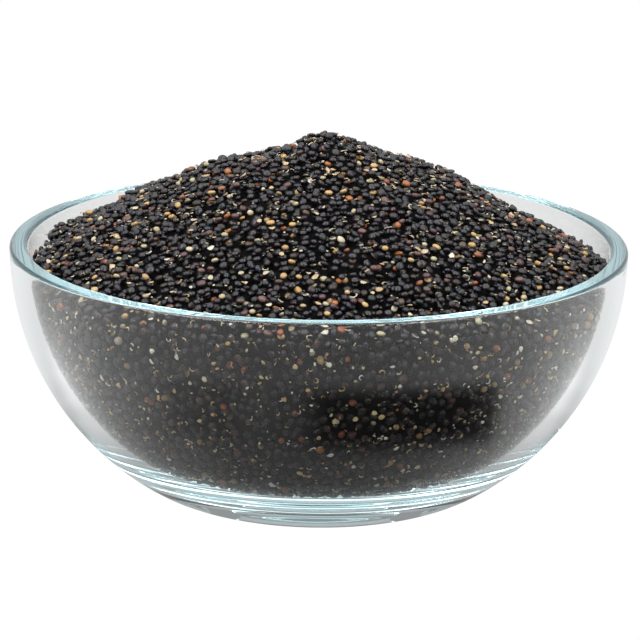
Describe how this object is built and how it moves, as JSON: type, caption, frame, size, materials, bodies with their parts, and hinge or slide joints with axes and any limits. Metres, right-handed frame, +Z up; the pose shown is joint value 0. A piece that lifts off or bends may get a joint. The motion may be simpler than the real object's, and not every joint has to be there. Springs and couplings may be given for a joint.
{
  "type": "dish of quinoa",
  "caption": "Round clear glass bowl heaped well above its rim with small dry black quinoa seeds, with a scatter of red, ochre and cream ones.",
  "frame": {"origin": "centre of the bowl's foot, on the surface that it stands on", "axes": "+Z up along the bowl's axis, -Y towards the picture's viewer, +X to the viewer's right"},
  "size_m": [0.12, 0.12, 0.07],
  "materials": {
    "clear_glass": "clear polished pressed glass with a faint blue-green edge",
    "quinoa": "dry black seed coat with a dull sheen"
  },
  "bodies": {
    "root": {"glass_bowl": "clear_glass", "quinoa_heap": "quinoa"}
  },
  "joints": []
}
